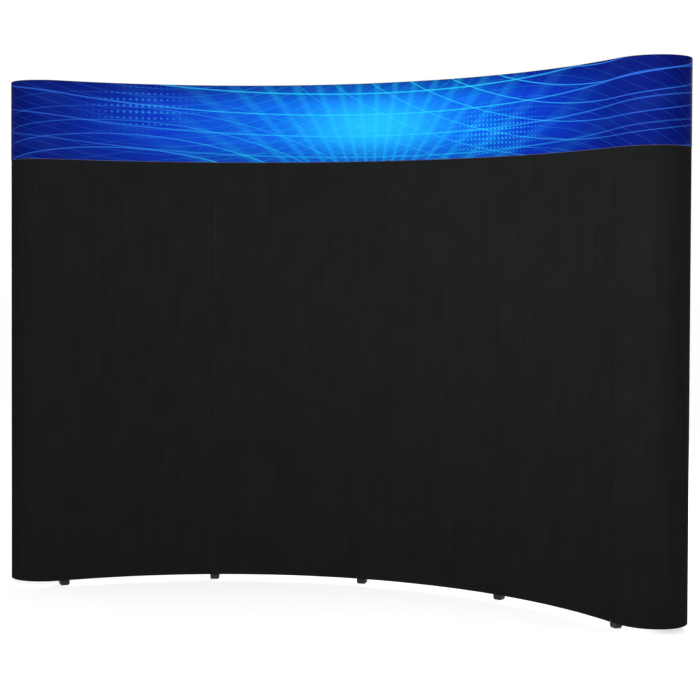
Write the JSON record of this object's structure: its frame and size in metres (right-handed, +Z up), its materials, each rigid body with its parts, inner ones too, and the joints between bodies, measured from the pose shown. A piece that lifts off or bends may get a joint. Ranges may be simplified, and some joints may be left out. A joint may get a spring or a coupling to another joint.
{
  "type": "pop-up display wall",
  "caption": "Curved pop-up display wall: fabric panels, rounded end caps and a printed header band, held by magnets on channel bars over a folding scissor-lattice frame.",
  "frame": {"origin": "on the floor, under the axis of the middle front hub column", "axes": "+X along the wall to the viewer's right, +Y out of the wall's back, away from the viewer, +Z up"},
  "size_m": [3.0374, 0.8693, 2.26],
  "materials": {
    "panel_fabric": "matte black looped fabric",
    "header_print": "satin printed laminate",
    "upright_frame": "satin tubes on black moulded hubs",
    "tube_aluminium": "satin anodised",
    "bar_aluminium": "satin anodised",
    "black_nylon": "moulded nylon"
  },
  "bodies": {
    "frame": {"front_channel_bar_1": "bar_aluminium", "front_channel_bar_2": "bar_aluminium", "front_channel_bar_3": "bar_aluminium", "front_channel_bar_4": "bar_aluminium", "front_channel_bar_5": "bar_aluminium", "level_scissor_1_1": "tube_aluminium", "level_scissor_1_2": "tube_aluminium", "level_scissor_1_3": "tube_aluminium", "level_scissor_1_4": "tube_aluminium", "level_scissor_2_1": "tube_aluminium", "level_scissor_2_2": "tube_aluminium", "level_scissor_2_3": "tube_aluminium", "level_scissor_2_4": "tube_aluminium", "level_scissor_3_1": "tube_aluminium", "level_scissor_3_2": "tube_aluminium", "level_scissor_3_3": "tube_aluminium", "level_scissor_3_4": "tube_aluminium", "level_scissor_4_1": "tube_aluminium", "level_scissor_4_2": "tube_aluminium", "level_scissor_4_3": "tube_aluminium", "level_scissor_4_4": "tube_aluminium", "rear_channel_bar_left": "bar_aluminium", "rear_channel_bar_right": "bar_aluminium", "upright_scissor_1_1": "upright_frame", "upright_scissor_1_2": "upright_frame", "upright_scissor_1_3": "upright_frame", "upright_scissor_2_1": "upright_frame", "upright_scissor_2_2": "upright_frame", "upright_scissor_2_3": "upright_frame", "upright_scissor_3_1": "upright_frame", "upright_scissor_3_2": "upright_frame", "upright_scissor_3_3": "upright_frame", "upright_scissor_4_1": "upright_frame", "upright_scissor_4_2": "upright_frame", "upright_scissor_4_3": "upright_frame", "upright_scissor_5_1": "upright_frame", "upright_scissor_5_2": "upright_frame", "upright_scissor_5_3": "upright_frame"},
    "panel_1": {"front_panel_1": "panel_fabric", "panel_hanger_1": "black_nylon"},
    "header_1": {"header_section_1": "header_print"},
    "panel_2": {"front_panel_2": "panel_fabric", "panel_hanger_2": "black_nylon"},
    "header_2": {"header_section_2": "header_print"},
    "panel_3": {"front_panel_3": "panel_fabric", "panel_hanger_3": "black_nylon"},
    "header_3": {"header_section_3": "header_print"},
    "panel_4": {"front_panel_4": "panel_fabric", "panel_hanger_4": "black_nylon"},
    "header_4": {"header_section_4": "header_print"},
    "cap_left": {"end_cap_left": "panel_fabric"},
    "header_left": {"header_section_left": "header_print"},
    "cap_right": {"end_cap_right": "panel_fabric"},
    "header_right": {"header_section_right": "header_print"},
    "arm_2_2": {"locking_arm_2_2": "black_nylon"},
    "arm_2_3": {"locking_arm_2_3": "black_nylon"},
    "arm_3_2": {"locking_arm_3_2": "black_nylon"},
    "arm_3_3": {"locking_arm_3_3": "black_nylon"},
    "arm_4_2": {"locking_arm_4_2": "black_nylon"},
    "arm_4_3": {"locking_arm_4_3": "black_nylon"}
  },
  "joints": [
    {"name": "panel_1_off", "type": "slide", "parent": "frame", "child": "panel_1", "axis": [0, -1, 0], "range_m": [0, 0.4]},
    {"name": "header_1_off", "type": "slide", "parent": "panel_1", "child": "header_1", "axis": [0, -1, 0], "range_m": [0, 0.2]},
    {"name": "panel_2_off", "type": "slide", "parent": "frame", "child": "panel_2", "axis": [0, -1, 0], "range_m": [0, 0.4]},
    {"name": "header_2_off", "type": "slide", "parent": "panel_2", "child": "header_2", "axis": [0, -1, 0], "range_m": [0, 0.2]},
    {"name": "panel_3_off", "type": "slide", "parent": "frame", "child": "panel_3", "axis": [0, -1, 0], "range_m": [0, 0.4]},
    {"name": "header_3_off", "type": "slide", "parent": "panel_3", "child": "header_3", "axis": [0, -1, 0], "range_m": [0, 0.2]},
    {"name": "panel_4_off", "type": "slide", "parent": "frame", "child": "panel_4", "axis": [0, -1, 0], "range_m": [0, 0.4]},
    {"name": "header_4_off", "type": "slide", "parent": "panel_4", "child": "header_4", "axis": [0, -1, 0], "range_m": [0, 0.2]},
    {"name": "cap_left_off", "type": "slide", "parent": "frame", "child": "cap_left", "axis": [-0.7154, -0.6987, 0], "range_m": [0, 0.3]},
    {"name": "header_left_off", "type": "slide", "parent": "cap_left", "child": "header_left", "axis": [-0.7154, -0.6987, 0], "range_m": [0, 0.2]},
    {"name": "cap_right_off", "type": "slide", "parent": "frame", "child": "cap_right", "axis": [0.7154, -0.6987, 0], "range_m": [0, 0.3]},
    {"name": "header_right_off", "type": "slide", "parent": "cap_right", "child": "header_right", "axis": [0.7154, -0.6987, 0], "range_m": [0, 0.2]},
    {"name": "arm_2_2_hinge", "type": "hinge", "parent": "frame", "child": "arm_2_2", "pos_m": [-0.74939, 0.09807, 0.77267], "axis": [0.9261, 0.3772, 0], "range_deg": [0, 90]},
    {"name": "arm_2_3_hinge", "type": "hinge", "parent": "frame", "child": "arm_2_3", "pos_m": [-0.74939, 0.09807, 1.49733], "axis": [0.9261, 0.3772, 0], "range_deg": [0, 90]},
    {"name": "arm_3_2_hinge", "type": "hinge", "parent": "frame", "child": "arm_3_2", "pos_m": [0.0124, 0.2424, 0.77267], "axis": [1, 0, 0], "range_deg": [0, 90]},
    {"name": "arm_3_3_hinge", "type": "hinge", "parent": "frame", "child": "arm_3_3", "pos_m": [0.0124, 0.2424, 1.49733], "axis": [1, 0, 0], "range_deg": [0, 90]},
    {"name": "arm_4_2_hinge", "type": "hinge", "parent": "frame", "child": "arm_4_2", "pos_m": [0.77236, 0.08872, 0.77267], "axis": [0.9261, -0.3772, 0], "range_deg": [0, 90]},
    {"name": "arm_4_3_hinge", "type": "hinge", "parent": "frame", "child": "arm_4_3", "pos_m": [0.77236, 0.08872, 1.49733], "axis": [0.9261, -0.3772, 0], "range_deg": [0, 90]}
  ]
}
